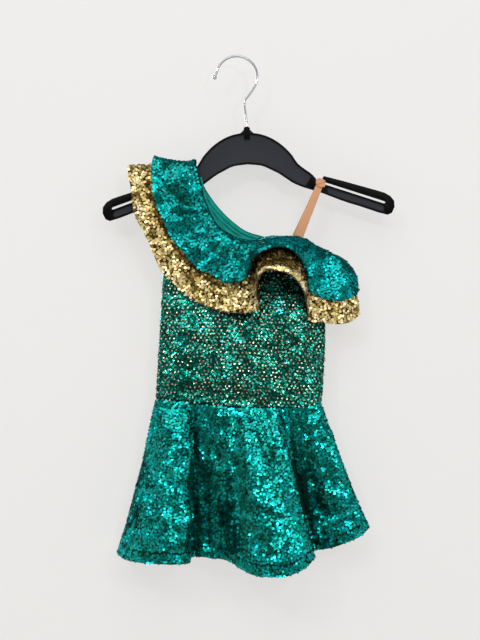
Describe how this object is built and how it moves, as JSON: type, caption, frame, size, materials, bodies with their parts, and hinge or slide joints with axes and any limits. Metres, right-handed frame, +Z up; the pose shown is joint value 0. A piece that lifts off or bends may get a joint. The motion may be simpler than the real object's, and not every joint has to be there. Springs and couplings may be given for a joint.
{
  "type": "sequin dance dress on a hanger",
  "caption": "One-shoulder sequin dance dress with two ruffles at the neckline, a flared skirt and an elastic strap, hung flat on a plastic hanger with a wire hook.",
  "frame": {"origin": "inside of the hook's crown, where a rail or nail carries it", "axes": "+Z up, the longest extent; the wearer's front faces -Y, the shortest extent; +X to the right seen from the front"},
  "size_m": [0.3644, 0.099, 0.6373],
  "materials": {
    "bodice_sequin": "small teal sequins with gold dots",
    "teal_sequin": "shiny teal sequins",
    "gold_sequin": "shiny pale gold sequins",
    "binding": "smooth stretch satin",
    "elastic": "ribbed tan elastic",
    "hanger_plastic": "fine matt grain",
    "hook_wire": "polished"
  },
  "bodies": {
    "root": {"bodice_front": "bodice_sequin", "bodice_back": "bodice_sequin", "skirt_front": "teal_sequin", "skirt_back": "teal_sequin", "lower_ruffle_front": "gold_sequin", "lower_ruffle_back": "gold_sequin", "upper_ruffle_front": "teal_sequin", "upper_ruffle_back": "teal_sequin", "neck_binding_back": "binding", "neck_binding_front": "binding", "strap_front": "elastic", "strap_turn": "elastic", "strap_back": "elastic", "hanger_body": "hanger_plastic", "hanger_hook": "hook_wire"}
  },
  "joints": []
}
